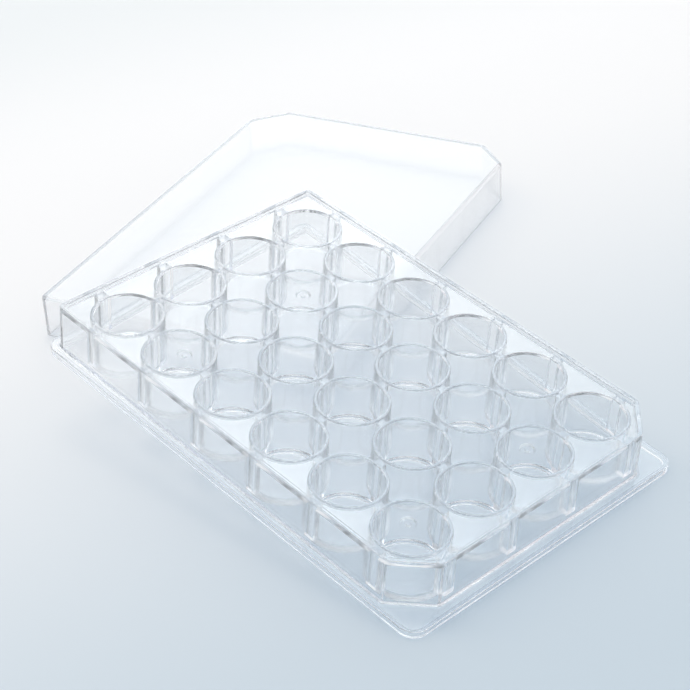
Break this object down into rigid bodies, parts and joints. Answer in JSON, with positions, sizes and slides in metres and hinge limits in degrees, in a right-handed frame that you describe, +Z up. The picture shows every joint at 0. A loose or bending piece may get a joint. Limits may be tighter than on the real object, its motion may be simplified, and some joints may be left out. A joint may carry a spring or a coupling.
{
  "type": "well plate",
  "caption": "Clear multi-well culture plate, low and flat, with round wells in a grid, two cut corners and a foot rim, leaning on the corner of its taken-off lid.",
  "frame": {"origin": "bottom centre of the box round both pieces, on the surface they stand on", "axes": "+Z up; +X along the plate, from its raised end to the end with the cut corners, which is down; the plate is tilted about Y; +Y across the plate, to the side where the lid lies"},
  "size_m": [0.1982, 0.1616, 0.0314],
  "materials": {
    "plate_plastic": "clear, polished",
    "lid_plastic": "clear, polished"
  },
  "bodies": {
    "root": {"plate": "plate_plastic", "lid": "lid_plastic"}
  },
  "joints": []
}
